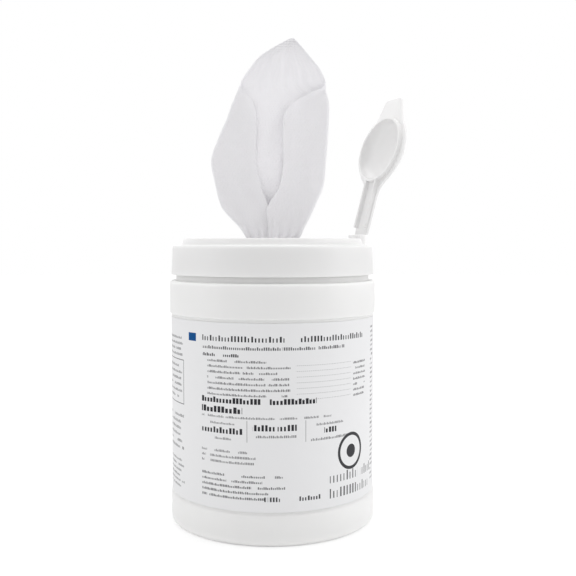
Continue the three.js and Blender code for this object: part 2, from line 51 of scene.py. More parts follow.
MM = 0.001
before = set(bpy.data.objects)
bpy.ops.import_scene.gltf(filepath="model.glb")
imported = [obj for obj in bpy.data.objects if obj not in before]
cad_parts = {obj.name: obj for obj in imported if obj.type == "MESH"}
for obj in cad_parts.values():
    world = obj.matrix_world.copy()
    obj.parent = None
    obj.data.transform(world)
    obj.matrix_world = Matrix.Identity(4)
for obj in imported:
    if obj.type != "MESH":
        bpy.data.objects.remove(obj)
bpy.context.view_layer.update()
LABEL_LOW, LABEL_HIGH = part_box("label")

# The finish of each plastic: scale of its pebble and of its waviness, depth of both, and share of inner glow
BLOWN = {"pebble": 700.0, "wave": 24.0, "depth": 0.12 * MM, "glow": 0.6}
MOULDED = {"pebble": 1100.0, "wave": 30.0, "depth": 0.06 * MM, "glow": 0.6}
THIN_MOULDED = {**MOULDED, "glow": 0.2}
GLOW_DEPTH = 3.0 * MM
PATCH_TINT, PATCH_ROUGHNESS = 0.03, 0.12  # how much the patches change the tint and the roughness in all
SEAM_CORE, SEAM_EDGE, SEAM_HEIGHT = 0.1 * MM, 0.45 * MM, 1.6  # the parting line, from its middle outwards

FILM_RELIEF = 0.06 * MM  # how far the film's lap stands out
FILM_PEBBLE, FILM_WAVE, FILM_DEPTH = 1400.0, 30.0, 0.05 * MM
CLOTH_DARK, ROLL_GAP_SHADE = 0.97, 0.62  # the cloth's thin spots, and the painted shade in the gaps between the roll's turns
ROLL_EDGE = 0.5 * MM
LEFT_SHARE = 0.55  # the left lamp's power against the right one's
CAMERA_PLACE, CAMERA_LENS = (0, -0.5092, 0.1634), 53.1
CAMERA_DOWN, CAMERA_TURN = 2.98, -1.04  # degrees below level and round from straight ahead
WHITE = (1.0, 1.0, 1.0, 1.0)
FADE_START, FADE_END = 0.07, 0.3  # where the floor starts and ends its change to white
NEAR_WHITE = 0.6  # the share of white that the floor has before that


# Settings

class CanisterSettings(bpy.types.PropertyGroup):
    colour: bpy.props.FloatVectorProperty(
        name="Colour", description="Colour of the blown plastic", subtype="COLOR",
        size=3, min=0, max=1, default=(0.9, 0.896, 0.888),
    )
    roughness: bpy.props.FloatProperty(
        name="Roughness", description="Roughness of the blown plastic", min=0, max=1, default=0.42,
    )
    edge: bpy.props.FloatProperty(
        name="Edge", description="Radius of the broken edges", subtype="DISTANCE", unit="LENGTH",
        min=0, default=0.15 * MM,
    )


class LidSettings(bpy.types.PropertyGroup):
    colour: bpy.props.FloatVectorProperty(
        name="Colour", description="Colour of the lid and its tab", subtype="COLOR",
        size=3, min=0, max=1, default=(0.81, 0.806, 0.804),
    )
    roughness: bpy.props.FloatProperty(
        name="Roughness", description="Roughness of the moulded plastic", min=0, max=1, default=0.36,
    )
    edge: bpy.props.FloatProperty(
        name="Edge", description="Radius of the moulded edges", subtype="DISTANCE", unit="LENGTH",
        min=0, default=0.22 * MM,
    )


class LabelSettings(bpy.types.PropertyGroup):
    film: bpy.props.FloatVectorProperty(
        name="Film", description="Colour of the film", subtype="COLOR",
        size=3, min=0, max=1, default=(0.795, 0.795, 0.804),
    )
    ink: bpy.props.FloatVectorProperty(
        name="Ink", description="Colour of the printed rows", subtype="COLOR",
        size=3, min=0, max=1, default=(0.03, 0.03, 0.035),
    )
    accent: bpy.props.FloatVectorProperty(
        name="Accent", description="Colour of the printed square", subtype="COLOR",
        size=3, min=0, max=1, default=(0.0, 0.07, 0.24),
    )
    thickness: bpy.props.FloatProperty(
        name="Thickness", description="Thickness of the film", subtype="DISTANCE", unit="LENGTH",
        min=0.05 * MM, default=0.22 * MM,
    )
    lap: bpy.props.FloatProperty(
        name="Lap", description="Width of the seam where the film laps over itself", subtype="DISTANCE",
        unit="LENGTH", min=1 * MM, default=9 * MM,
    )


class WipeSettings(bpy.types.PropertyGroup):
    colour: bpy.props.FloatVectorProperty(
        name="Colour", description="Colour of the moist nonwoven", subtype="COLOR",
        size=3, min=0, max=1, default=(0.98, 0.972, 0.99),
    )
    width: bpy.props.FloatProperty(
        name="Width", description="Width of one flat wipe", subtype="DISTANCE", unit="LENGTH",
        min=50 * MM, default=152.4 * MM,
    )
    length: bpy.props.FloatProperty(
        name="Length", description="Length of one flat wipe", subtype="DISTANCE", unit="LENGTH",
        min=50 * MM, default=171.5 * MM,
    )
    thickness: bpy.props.FloatProperty(
        name="Thickness", description="Thickness of the nonwoven", subtype="DISTANCE", unit="LENGTH",
        min=0.1 * MM, default=0.42 * MM,
    )
    sheer: bpy.props.FloatProperty(
        name="Sheer", description="Share of light that passes through one face of the wipe", subtype="FACTOR",
        min=0, max=1, default=0.25,
    )
    turn: bpy.props.FloatProperty(
        name="Turn", description="Thickness of one turn of the roll", subtype="DISTANCE", unit="LENGTH",
        min=0.2 * MM, default=0.62 * MM,
    )


class StageSettings(bpy.types.PropertyGroup):
    floor: bpy.props.FloatVectorProperty(
        name="Floor", description="Colour of the floor", subtype="COLOR",
        size=3, min=0, max=1, default=(0.92, 0.92, 0.92),
    )
    side_light: bpy.props.FloatProperty(
        name="Side light", description="Power of the right lamp in watts, which the left one follows",
        min=0, default=1.5,
    )
    top_light: bpy.props.FloatProperty(
        name="Top light", description="Power of the lamp overhead in watts", min=0, default=3.1,
    )
    back_light: bpy.props.FloatProperty(
        name="Back light", description="Power of the lamp behind in watts", min=0, default=0.35,
    )
    surround: bpy.props.FloatProperty(
        name="Surround", description="Strength of the light from all round", min=0, default=0.78,
    )


def settings(name):
    """One of the groups of settings, which register() puts on the scene."""
    return getattr(bpy.context.scene, name)


# Modelling helpers

def start():
    """Leaves edit mode and deselects everything."""
    if bpy.context.object and bpy.context.object.mode != "OBJECT":
        bpy.ops.object.mode_set(mode="OBJECT")
    bpy.ops.object.select_all(action="DESELECT")


def only(obj):
    """Selects one object and makes it active."""
    start()
    obj.select_set(True)
    bpy.context.view_layer.objects.active = obj


def added(name):
    """Names the primitive that was just added, and its mesh."""
    obj = bpy.context.object
    obj.name = name
    obj.data.name = name
    return obj


def modify(obj, kind, **values):
    """Adds a modifier and applies it."""
    only(obj)
    modifier = obj.modifiers.new(kind.title(), kind)
    for key, value in values.items():
        setattr(modifier, key, value)
    bpy.ops.object.modifier_apply(modifier=modifier.name)


def smooth(obj, degrees=35):
    """Shades the object smooth but for edges sharper than an angle."""
    only(obj)
    bpy.ops.object.shade_smooth_by_angle(angle=math.radians(degrees))


def select_faces(obj, wanted):
    """Selects the faces that a test picks out by centre and normal, and enters face edit mode."""
    only(obj)
    bpy.ops.object.mode_set(mode="EDIT")
    bpy.ops.mesh.select_mode(type="FACE")
    bpy.ops.mesh.select_all(action="DESELECT")
    bpy.ops.object.mode_set(mode="OBJECT")
    for face in obj.data.polygons:
        face.select = wanted(face.center, face.normal)
    bpy.ops.object.mode_set(mode="EDIT")


def finer_copy(node, name, edge, sharp=40):
    """A merged copy of a CAD node: flat faces whole, sharp edges rounded and curves smooth."""
    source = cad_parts[node]
    obj = source.copy()
    obj.data = source.data.copy()
    obj.parent = None
    obj.matrix_world.identity()
    bpy.context.scene.collection.objects.link(obj)
    obj.name = name
    obj.data.name = name
    obj.data.materials.clear()
    only(obj)
    bpy.ops.object.mode_set(mode="EDIT")
    bpy.ops.mesh.select_all(action="SELECT")
    bpy.ops.mesh.remove_doubles(threshold=0.002 * MM)
    bpy.ops.mesh.dissolve_limited(angle_limit=math.radians(0.6))
    bpy.ops.object.mode_set(mode="OBJECT")
    modify(
        obj, "BEVEL", width=edge, segments=2, limit_method="ANGLE",
        angle_limit=math.radians(sharp), use_clamp_overlap=True, harden_normals=False,
    )
    smooth(obj)
    return obj


def finish_piece(obj, body, node, material):
    """Gives a piece its material, sets it on the body it rides on and hides the CAD node that it stands for.
    """
    obj.data.materials.clear()
    obj.data.materials.append(material)
    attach(obj, body)
    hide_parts(node)


# Node helpers

class Tree:
    """Adds nodes to one tree. An input is a number, a vector or another node's output."""

    def __init__(self, tree):
        self.tree = tree

    def feed(self, node, inputs):
        """Links or sets a node's inputs, given by name or index."""
        for key, value in inputs.items():
            socket = node.inputs[key]
            if isinstance(value, bpy.types.NodeSocket):
                self.tree.links.new(value, socket)
            else:
                socket.default_value = value
        return node

    def add(self, kind, inputs=None, **values):
        made = self.tree.nodes.new(kind)
        for key, value in values.items():
            setattr(made, key, value)
        return self.feed(made, inputs or {})

    def use(self, name, inputs):
        """One of the node groups below."""
        return self.add("ShaderNodeGroup", inputs, node_tree=bpy.data.node_groups[name])

    def math(self, operation, a, b=0.0, c=0.0):
        return self.add("ShaderNodeMath", {0: a, 1: b, 2: c}, operation=operation).outputs[0]

    def between(self, value, low, high):
        """1 where value lies between low and high."""
        above = self.math("GREATER_THAN", value, low)
        return self.math("MULTIPLY", above, self.math("LESS_THAN", value, high))

    def ramp(self, value, low, high):
        """0 at low and below, 1 at high and above, smooth between."""
        made = self.add(
            "ShaderNodeMapRange", {"Value": value, "From Min": low, "From Max": high},
            interpolation_type="SMOOTHSTEP",
        )
        return made.outputs["Result"]

    def choose(self, share, first, second):
        """The second vector where share is 1, and otherwise the first."""
        made = self.add("ShaderNodeMix", {0: share, 4: first, 5: second}, data_type="VECTOR")
        return made.outputs[1]

    def mix(self, share, first, second):
        """The first colour, and the second by its share."""
        made = self.add("ShaderNodeMix", {0: share, 6: first, 7: second}, data_type="RGBA")
        return made.outputs[2]

    def distance(self, x, y):
        squares = self.math("ADD", self.math("MULTIPLY", x, x), self.math("MULTIPLY", y, y))
        return self.math("SQRT", squares)

    def inside(self, along, up, box):
        """1 within a box of left, right, low and high."""
        left, right, low, high = box
        return self.math("MULTIPLY", self.between(along, left, right), self.between(up, low, high))


FLOAT, VECTOR = "NodeSocketFloat", "NodeSocketVector"


def group(name, inputs, outputs):
    """A new node group. Returns its tree helper, its input node's outputs and its output node."""
    tree = bpy.data.node_groups.new(name, "ShaderNodeTree")
    for label, kind, default in inputs:
        socket = tree.interface.new_socket(name=label, in_out="INPUT", socket_type=kind)
        if default is not None:
            socket.default_value = default
    for label in outputs:
        tree.interface.new_socket(name=label, in_out="OUTPUT", socket_type=FLOAT)
    helper = Tree(tree)
    entry = helper.add("NodeGroupInput")
    leave = helper.add("NodeGroupOutput")
    return helper, entry.outputs, leave


def moulded_group():
    """Moulded plastic: a fine pebble on slow waves for height, and slow patches for tint and roughness."""
    patch_scale, pebble_height = 22.0, 0.12
    t, entry, leave = group(
        "Moulded surface", [("Vector", VECTOR, None), ("Pebble", FLOAT, 900.0), ("Wave", FLOAT, 40.0)],
        ["Height", "Patch"],
    )
    place = entry["Vector"]
    pebble = t.add("ShaderNodeTexNoise", {"Vector": place, "Scale": entry["Pebble"], "Detail": 2.0})
    wave = t.add("ShaderNodeTexNoise", {"Vector": place, "Scale": entry["Wave"], "Detail": 1.0})
    patch = t.add("ShaderNodeTexNoise", {"Vector": place, "Scale": patch_scale, "Detail": 3.0})
    height = t.math("MULTIPLY_ADD", pebble.outputs["Fac"], pebble_height, wave.outputs["Fac"])
    t.feed(leave, {"Height": height, "Patch": patch.outputs["Fac"]})


def nonwoven_group():
    """Nonwoven cloth: matted fibres lying mostly one way, with rows of small pressed dots."""
    lengthwise, crosswise = (1.0, 0.16, 1.0), (0.22, 1.0, 0.6)  # how each set of fibres is stretched
    clump_scale, dot_depth, dot_shade = 190.0, 0.7, -0.35
    t, entry, leave = group(
        "Nonwoven", [("Vector", VECTOR, None), ("Fibre", FLOAT, 1500.0), ("Dot pitch", FLOAT, 2.6 * MM)],
        ["Height", "Shade"],
    )
    place, fine = entry["Vector"], entry["Fibre"]
    along = t.add("ShaderNodeMapping", {"Vector": place, "Scale": lengthwise})
    across = t.add("ShaderNodeMapping", {"Vector": place, "Scale": crosswise})
    long_fibres = t.add("ShaderNodeTexNoise", {"Vector": along.outputs[0], "Scale": fine, "Detail": 4.0})
    cross_fibres = t.add("ShaderNodeTexNoise", {"Vector": across.outputs[0], "Scale": fine, "Detail": 3.0})
    clump = t.add("ShaderNodeTexNoise", {"Vector": place, "Scale": clump_scale, "Detail": 3.0})
    fibres = t.math("ADD", long_fibres.outputs["Fac"], cross_fibres.outputs["Fac"])
    part = t.add("ShaderNodeSeparateXYZ", {0: place})
    turns = t.math("DIVIDE", 2 * math.pi, entry["Dot pitch"])
    wave_x = t.math("SINE", t.math("MULTIPLY", part.outputs[0], turns))
    wave_y = t.math("SINE", t.math("MULTIPLY", part.outputs[1], turns))
    dots = t.ramp(t.math("MULTIPLY", wave_x, wave_y), 0.3, 0.8)
    pressed = t.math("SUBTRACT", fibres, t.math("MULTIPLY", dots, dot_depth))
    height = t.math("ADD", pressed, clump.outputs["Fac"])
    shade = t.math("MULTIPLY_ADD", dots, dot_shade, clump.outputs["Fac"])
    t.feed(leave, {"Height": height, "Shade": shade})


def label_place_group():
    """Where a point lies on the wrapped label: along it from the front, and up it, in millimetres."""
    t, entry, leave = group("Label place", [("Radius", FLOAT, 60.0)], ["Along", "Up"])
    place = t.add("ShaderNodeTexCoord")
    part = t.add("ShaderNodeSeparateXYZ", {0: place.outputs["Object"]})
    front = t.math("MULTIPLY", part.outputs[1], -1.0)
    angle = t.math("ARCTAN2", part.outputs[0], front)
    along = t.math("MULTIPLY", angle, entry["Radius"])
    t.feed(leave, {"Along": along, "Up": t.math("MULTIPLY", part.outputs[2], 1 / MM)})


def print_rows_group():
    """Rows of small upright marks, in clusters, for the printed field that a point lies in.

    Rows holds the field's low edge, the pitch of its rows and the inked share of a row. Clusters holds the
    field's right edge, how ragged that is and the length of a cluster. Marks holds the pitch of the marks,
    how dark they are and how broad.
    """
    broader, lower = 0.24, 0.28  # how much some marks exceed the breadth and fall short of the height
    gap_low, gap_high = 0.33, 0.35  # below these values of its noise there is a gap between two clusters
    row_seed, cluster_seed = 3.7, 5.3  # give each field and row its own chance values
    fields = [("Rows", VECTOR, None), ("Clusters", VECTOR, None), ("Marks", VECTOR, None)]
    t, entry, leave = group(
        "Print rows", [("Along", FLOAT, 0.0), ("Up", FLOAT, 0.0), *fields], ["Ink"]
    )
    low, pitch, fill = t.add("ShaderNodeSeparateXYZ", {0: entry["Rows"]}).outputs
    right, ragged, cluster = t.add("ShaderNodeSeparateXYZ", {0: entry["Clusters"]}).outputs
    mark, dark, broad = t.add("ShaderNodeSeparateXYZ", {0: entry["Marks"]}).outputs
    rise = t.math("DIVIDE", t.math("SUBTRACT", entry["Up"], low), pitch)
    row = t.math("FLOOR", rise)
    share = t.math("SUBTRACT", rise, row)
    seed = t.math("MULTIPLY_ADD", low, row_seed, row)
    chance = t.add("ShaderNodeTexWhiteNoise", {"W": seed}, noise_dimensions="1D")
    short = t.math("MULTIPLY", chance.outputs["Value"], ragged)
    reached = t.math("LESS_THAN", entry["Along"], t.math("SUBTRACT", right, short))

    step = t.math("DIVIDE", entry["Along"], mark)
    number = t.math("FLOOR", step)
    cell = t.add("ShaderNodeCombineXYZ", {0: number, 1: seed})
    draw = t.add("ShaderNodeTexWhiteNoise", {"Vector": cell.outputs[0]}, noise_dimensions="2D")
    size = draw.outputs["Value"]
    wide = t.math("MULTIPLY_ADD", size, broader, broad)
    stroke = t.math("LESS_THAN", t.math("SUBTRACT", step, number), wide)
    margin = t.math("MULTIPLY", t.math("SUBTRACT", 1.0, fill), 0.5)
    drop = t.math("MULTIPLY", t.math("MULTIPLY", fill, lower), t.math("LESS_THAN", size, 0.5))
    top = t.math("SUBTRACT", t.math("SUBTRACT", 1.0, margin), drop)
    inked = t.math("MULTIPLY", t.between(share, margin, top), stroke)

    passed = t.math("DIVIDE", entry["Along"], cluster)
    at = t.add("ShaderNodeCombineXYZ", {0: passed, 1: t.math("MULTIPLY", seed, cluster_seed)})
    clusters = t.add("ShaderNodeTexNoise", {"Vector": at.outputs[0], "Scale": 1.0, "Detail": 0.0})
    spaced = t.ramp(clusters.outputs["Fac"], gap_low, gap_high)
    mask = t.math("MULTIPLY", t.math("MULTIPLY", inked, reached), spaced)
    t.feed(leave, {"Ink": t.math("MULTIPLY", mask, dark)})


# Materials

def new_material(name):
    """A material with its tree helper and its shader."""
    material = bpy.data.materials.new(name)
    material.use_nodes = True
    t = Tree(material.node_tree)
    return material, t, material.node_tree.nodes["Principled BSDF"]


def blended(t, shader, other, share):
    """Gives the material its shader, and another one by its share."""
    made = t.add("ShaderNodeMixShader", {0: share, 1: shader.outputs[0], 2: other.outputs[0]})
    t.feed(t.tree.nodes["Material Output"], {"Surface": made.outputs[0]})


def bump(t, height, distance):
    return t.add("ShaderNodeBump", {"Height": height, "Distance": distance}).outputs[0]


def plastic(name, values, pebble, wave, depth, glow, seam=False):
    """Moulded white plastic. A blown piece also has the faint line where its mould closed."""
    material, t, shader = new_material(name)
    place = t.add("ShaderNodeTexCoord").outputs["Object"]
    surface = t.use("Moulded surface", {"Vector": place, "Pebble": pebble, "Wave": wave})
    patch, height = surface.outputs["Patch"], surface.outputs["Height"]
    tint = t.math("MULTIPLY_ADD", patch, PATCH_TINT, 1 - PATCH_TINT / 2)
    colour = t.add("ShaderNodeVectorMath", {0: tuple(values.colour), "Scale": tint}, operation="SCALE")
    rough = t.math("MULTIPLY_ADD", patch, PATCH_ROUGHNESS, values.roughness - PATCH_ROUGHNESS / 2)
    if seam:
        off = t.math("ABSOLUTE", t.add("ShaderNodeSeparateXYZ", {0: place}).outputs[1])
        line = t.math("SUBTRACT", 1.0, t.ramp(off, SEAM_CORE, SEAM_EDGE))
        height = t.math("MULTIPLY_ADD", line, SEAM_HEIGHT, height)
    t.feed(shader, {
        "Base Color": colour.outputs[0], "Roughness": rough, "Normal": bump(t, height, depth), "IOR": 1.5,
        "Subsurface Weight": glow, "Subsurface Radius": (1.0, 1.0, 1.0), "Subsurface Scale": GLOW_DEPTH,
    })
    return material


def wipe_material():
    """Moist nonwoven, laid by the flat wipe's own width and length, that lets some light through."""
    values = settings("wipes_wipe")
    material, t, shader = new_material("Wipe nonwoven")
    place = t.add("ShaderNodeUVMap", uv_map="UVMap").outputs[0]
    flat = t.add("ShaderNodeMapping", {"Vector": place, "Scale": (values.width, values.length, 1.0)})
    weave = t.use("Nonwoven", {"Vector": flat.outputs[0]})
    light = (*values.colour, 1.0)
    dark = (*(c * CLOTH_DARK for c in values.colour), 1.0)
    t.feed(shader, {
        "Base Color": t.mix(weave.outputs["Shade"], dark, light), "Roughness": 0.82, "Sheen Weight": 0.15,
        "Normal": bump(t, weave.outputs["Height"], 0.12 * MM),
    })
    blended(t, shader, t.add("ShaderNodeBsdfTranslucent", {"Color": light}), values.sheer)
    return material


def roll_material():
    """The roll's sides are nonwoven, and its ends show the edge of every turn, with painted shade in the gaps
    between the turns.
    """
    values = settings("wipes_wipe")
    material, t, shader = new_material("Wound nonwoven")
    place = t.add("ShaderNodeTexCoord")
    weave = t.use("Nonwoven", {"Vector": place.outputs["Object"]})
    part = t.add("ShaderNodeSeparateXYZ", {0: place.outputs["Object"]})
    x, y = part.outputs[0], part.outputs[1]
    radius = t.distance(x, y)
    angle = t.math("DIVIDE", t.math("ARCTAN2", y, x), 2 * math.pi)
    turns = t.math("SUBTRACT", t.math("DIVIDE", radius, values.turn), angle)
    ridge = t.math("SINE", t.math("MULTIPLY", t.math("FRACT", turns), math.pi))
    normal = t.add("ShaderNodeSeparateXYZ", {0: place.outputs["Normal"]})
    end = t.math("GREATER_THAN", t.math("ABSOLUTE", normal.outputs[2]), 0.7)
    side_height = t.math("MULTIPLY", weave.outputs["Height"], 0.6)
    height = t.math("MULTIPLY_ADD", t.math("MULTIPLY", ridge, end), 3.0, side_height)
    # painted shade: the roll's ends are coloured darker in the gaps between the turns
    gap_shade = t.math("MULTIPLY", end, t.math("SUBTRACT", 1.0, t.ramp(ridge, 0.0, 0.45)))
    light = (*values.colour, 1.0)
    dark = (*(c * ROLL_GAP_SHADE for c in values.colour), 1.0)
    t.feed(shader, {
        "Base Color": t.mix(gap_shade, light, dark), "Roughness": 0.85, "Normal": bump(t, height, 0.1 * MM),
    })
    return material


# The printed rows: left, right, low and high edge in millimetres, along the label from its front and up from
# the surface, then the number of rows, the length of a cluster, how ragged the right is, how much of a row is
# inked, how far one mark is from the next, how dark they are and how broad a share of their pitch.
PRINT_ROWS = [
    (-41.5, 60.2, 109.4, 115.6, 1, 11.0, 0.0, 0.5, 1.9, 1, 0.34),
    (-41.5, 42.7, 105.6, 109.4, 1, 9.0, 0.0, 0.46, 1.2, 0.9, 0.5),
    (-41.5, -18.2, 102.0, 105.0, 1, 9.0, 0.0, 0.56, 1.2, 1, 0.5),
    (-38.2, 10.4, 80.6, 101.9, 7, 6.0, 16.0, 0.42, 0.9, 0.85, 0.5),
    (50.4, 63.9, 77.8, 99.0, 7, 9.0, 2.0, 0.42, 0.9, 0.87, 0.5),
    (-42.1, 24.3, 76.6, 81.6, 1, 9.0, 0.0, 0.62, 2, 1, 0.58),
    (-42.1, -16.5, 71.4, 76.4, 1, 14.0, 0.0, 0.68, 2.4, 1, 0.58),
    (-42.1, 33.5, 68.8, 71.4, 1, 6.0, 0.0, 0.46, 0.9, 0.75, 0.5),
    (-36.2, -21.0, 65.2, 67.8, 1, 9.0, 0.0, 0.46, 0.9, 0.75, 0.5),
    (-42.2, -16.0, 60.0, 65.2, 1, 9.0, 0.0, 0.62, 2, 1, 0.5),
    (-33.0, -23.0, 56.8, 59.6, 1, 9.0, 0.0, 0.46, 0.9, 0.75, 0.5),
    (-11.0, 15.4, 62.2, 67.8, 1, 9.0, 0.0, 0.6, 2, 1, 0.5),
    (-9.0, 13.0, 58.8, 61.8, 1, 9.0, 0.0, 0.46, 1, 0.75, 0.5),
    (24.0, 42.0, 64.6, 67.4, 1, 9.0, 0.0, 0.46, 0.9, 0.75, 0.5),
    (29.0, 37.0, 60.4, 64.6, 1, 14.0, 0.0, 0.7, 2, 1, 0.5),
    (20.6, 46.2, 56.4, 59.4, 1, 9.0, 0.0, 0.46, 1, 0.75, 0.5),
    (-42.2, -8.3, 44.0, 52.8, 3, 7.0, 6.0, 0.44, 0.9, 0.75, 0.5),
    (32.7, 76.0, 31.2, 39.4, 1, 12.0, 0.0, 0.66, 2.5, 0.95, 0.2),
    (32.7, 72.0, 22.8, 30.8, 1, 16.0, 0.0, 0.66, 2.5, 0.95, 0.2),
    (-42.3, 10.0, 24.9, 39.9, 5, 7.0, 16.0, 0.44, 1, 0.87, 0.5),
    (-4.6, 26.6, 24.2, 28.4, 1, 8.0, 0.0, 0.6, 1.6, 0.95, 0.45),
    (-83.0, -58.5, 99.4, 112.1, 4, 6.0, 6.0, 0.44, 1, 0.8, 0.5),
    (-83.0, -60.5, 75.0, 96.2, 6, 6.0, 6.0, 0.4, 1, 0.8, 0.5),
    (-83.0, -58.5, 46.0, 68.0, 6, 6.0, 6.0, 0.44, 1.2, 0.75, 0.5),
    (-83.0, -58.5, 24.0, 42.0, 6, 6.0, 6.0, 0.44, 1, 0.75, 0.5),
    (72.5, 79.5, 26.0, 117.0, 34, 4.0, 2.0, 0.5, 1, 0.87, 0.5),
    (95.0, 165.0, 66.0, 112.0, 14, 7.0, 14.0, 0.42, 1, 0.75, 0.5),
    (-165.0, -95.0, 62.0, 112.0, 15, 7.0, 14.0, 0.42, 1, 0.75, 0.5),
    (-165.0, -95.0, 28.0, 52.0, 7, 7.0, 14.0, 0.42, 1, 0.75, 0.5),
]
# The other print, in the same millimetres, and how dark each kind is
LEADERS, LEADER_ROWS, LEADER_DOT, LEADER_INK = (12.5, 48.5, 78.9, 100.3), 7, 1.1, 0.5
LEADER_BAND, LEADER_LENGTH = (0.3, 0.42), 0.45  # a leader's dots as shares of its row and of their pitch
RULE_PLACES, RULE_LOW, RULE_HIGH, RULE_HALF, RULE_INK = (-13.9, 18.0), 57.0, 68.7, 0.18, 0.6
SQUARE = (-53.2, -46.6, 109.9, 114.4)
RING_CENTRE, RING_RADIUS, RING_WIDTH, RING_INK = (48.6, 48.4), 10.4, 1.8, 0.97
RING_DISC = 0.36  # the disc's radius as a share of the ring's
PANEL_BOX, PANEL_LINE, PANEL_INK = (-86.0, -58.7, 72.9, 98.3), 0.5, 0.8


def printed_rows(t, along, up):
    """All the fields of printed rows."""
    rows, clusters, marks = (0.0, 1.0, 0.0), (0.0, 0.0, 1.0), (1.0, 0.0, 0.0)
    for left, right, low, high, count, cluster, ragged, fill, mark, dark, broad in PRINT_ROWS:
        field = t.inside(along, up, (left, right, low, high))
        rows = t.choose(field, rows, (low, (high - low) / count, fill))
        clusters = t.choose(field, clusters, (right, ragged, cluster))
        marks = t.choose(field, marks, (mark, dark, broad))
    inputs = {"Along": along, "Up": up, "Rows": rows, "Clusters": clusters, "Marks": marks}
    return t.use("Print rows", inputs).outputs[0]


def leaders(t, along, up):
    """Dotted lines between the middle rows and the right column."""
    low, high = LEADERS[2:]
    pitch = (high - low) / LEADER_ROWS
    share = t.math("FRACT", t.math("DIVIDE", t.math("SUBTRACT", up, low), pitch))
    dots = t.math("FRACT", t.math("DIVIDE", along, LEADER_DOT))
    mask = t.math("MULTIPLY", t.between(share, *LEADER_BAND), t.between(dots, 0.0, LEADER_LENGTH))
    return t.math("MULTIPLY", t.inside(along, up, LEADERS), mask)


def ring(t, along, up):
    """A plain ring with a disc in it."""
    x = t.math("SUBTRACT", along, RING_CENTRE[0])
    y = t.math("SUBTRACT", up, RING_CENTRE[1])
    distance = t.distance(x, y)
    rim = t.between(distance, RING_RADIUS - RING_WIDTH, RING_RADIUS)
    return t.math("MAXIMUM", rim, t.math("LESS_THAN", distance, RING_RADIUS * RING_DISC))


def panel_outline(t, along, up):
    """The thin outline of a panel of print."""
    left, right, low, high = PANEL_BOX
    inner = (left + PANEL_LINE, right - PANEL_LINE, low + PANEL_LINE, high - PANEL_LINE)
    return t.math("SUBTRACT", t.inside(along, up, PANEL_BOX), t.inside(along, up, inner))


def label_material():
    """Printed white film: rows of marks, a square, a ring, rules and a panel."""
    values = settings("wipes_label")
    material, t, shader = new_material("Printed film")
    along, up = t.use("Label place", {}).outputs
    ink = printed_rows(t, along, up)
    printed = [(leaders(t, along, up), LEADER_INK)]
    for at in RULE_PLACES:
        rule = t.inside(along, up, (at - RULE_HALF, at + RULE_HALF, RULE_LOW, RULE_HIGH))
        printed.append((rule, RULE_INK))
    printed += [(ring(t, along, up), RING_INK), (panel_outline(t, along, up), PANEL_INK)]
    for mask, dark in printed:
        ink = t.math("MAXIMUM", ink, t.math("MULTIPLY", mask, dark))
    colour = t.mix(ink, (*values.film, 1.0), (*values.ink, 1.0))
    place = t.add("ShaderNodeTexCoord").outputs["Object"]
    surface = t.use("Moulded surface", {"Vector": place, "Pebble": FILM_PEBBLE, "Wave": FILM_WAVE})
    t.feed(shader, {
        "Base Color": t.mix(t.inside(along, up, SQUARE), colour, (*values.accent, 1.0)),
        "Roughness": t.math("MULTIPLY_ADD", ink, -0.06, 0.38), "Specular IOR Level": 0.06,
        "Normal": bump(t, surface.outputs["Height"], FILM_DEPTH),
    })
    return material


def floor_material():
    """A pale floor that goes over to the white background away from the object."""
    values = settings("wipes_stage")
    material, t, shader = new_material("Floor")
    t.feed(shader, {"Base Color": (*values.floor, 1.0), "Roughness": 0.9, "Specular IOR Level": 0.0})
    place = t.add("ShaderNodeTexCoord").outputs["Object"]
    length = t.add("ShaderNodeVectorMath", {0: place}, operation="LENGTH")
    fade = t.ramp(length.outputs["Value"], FADE_START, FADE_END)
    seen = t.add("ShaderNodeLightPath").outputs["Is Camera Ray"]
    white = t.add("ShaderNodeEmission", {"Color": WHITE, "Strength": 1.1})
    share = t.math("MULTIPLY", t.math("MULTIPLY_ADD", fade, 1 - NEAR_WHITE, NEAR_WHITE), seen)
    blended(t, shader, white, share)
    return material


# The drawn wipe

